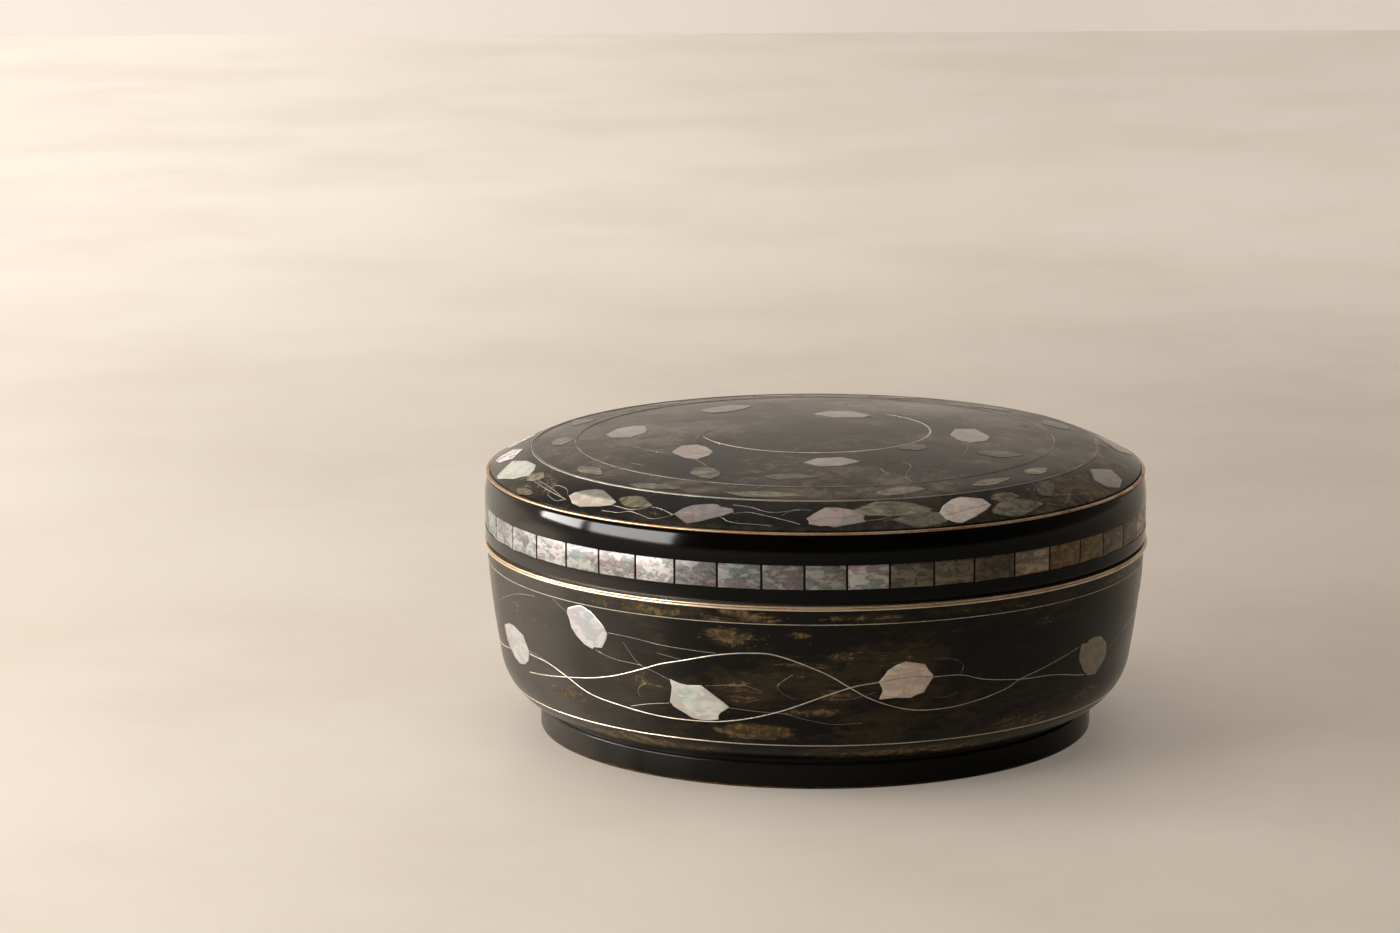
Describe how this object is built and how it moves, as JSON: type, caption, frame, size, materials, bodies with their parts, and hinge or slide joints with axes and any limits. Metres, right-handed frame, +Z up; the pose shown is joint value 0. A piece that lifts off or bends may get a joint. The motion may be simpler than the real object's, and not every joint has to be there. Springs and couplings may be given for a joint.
{
  "type": "inlaid lacquer box with lid",
  "caption": "Round black lacquer box with a domed lift-off lid, inlaid with shell leaves, a band of shell tiles and fine metal wires.",
  "frame": {"origin": "on the axis of the box, at the underside of the foot ring", "axes": "+Z up along the axis of the box, +X to the right and -Y to the front as pictured"},
  "size_m": [0.2418, 0.2417, 0.1084],
  "materials": {
    "core": "turned wooden core under black-brown lacquer, satin inside",
    "lacquer": "natural lacquer polished to a gloss, black-brown with amber clouds",
    "shell": "polished mother-of-pearl, pale with pink and green lustre",
    "brass": "fine pale brass wire, polished flush and worn",
    "copper": "copper-gold edge wire, worn"
  },
  "bodies": {
    "base": {"base_core": "core", "base_floor": "lacquer", "foot_ring": "lacquer", "inner_collar": "lacquer", "base_lacquer": "lacquer", "base_leaf_1": "shell", "base_leaf_2": "shell", "base_leaf_3": "shell", "base_leaf_4": "shell", "base_leaf_5": "shell", "base_leaf_6": "shell", "base_leaf_7": "shell", "base_leaf_8": "shell", "base_leaf_9": "shell", "base_leaf_10": "shell", "base_leaf_11": "shell", "vine_wire_1": "brass", "vine_wire_2": "brass", "vine_wire_3": "brass", "vine_wire_4": "brass", "vine_wire_5": "brass", "vine_wire_6": "brass", "vine_wire_7": "brass", "vine_wire_8": "brass", "vine_wire_9": "brass", "vine_wire_10": "brass", "lower_line_wire": "brass", "rim_wire": "brass"},
    "lid": {"lid_wall_core": "core", "lid_top_core": "core", "lid_side_lacquer": "lacquer", "lid_edge_wire": "copper", "lid_top_lacquer": "lacquer", "lid_leaf_1": "shell", "lid_leaf_2": "shell", "lid_leaf_3": "shell", "lid_leaf_4": "shell", "lid_leaf_5": "shell", "lid_leaf_6": "shell", "lid_leaf_7": "shell", "lid_leaf_8": "shell", "lid_leaf_9": "shell", "lid_leaf_10": "shell", "lid_leaf_11": "shell", "lid_leaf_12": "shell", "lid_leaf_13": "shell", "lid_leaf_14": "shell", "lid_leaf_15": "shell", "lid_leaf_16": "shell", "lid_leaf_17": "shell", "lid_leaf_18": "shell", "lid_leaf_19": "shell", "outer_ring_wire": "brass", "centre_arc_wire": "brass"}
  },
  "joints": [
    {"name": "lid_lift", "type": "slide", "parent": "base", "child": "lid", "axis": [0, 0, 1], "range_m": [0, 0.09]}
  ]
}
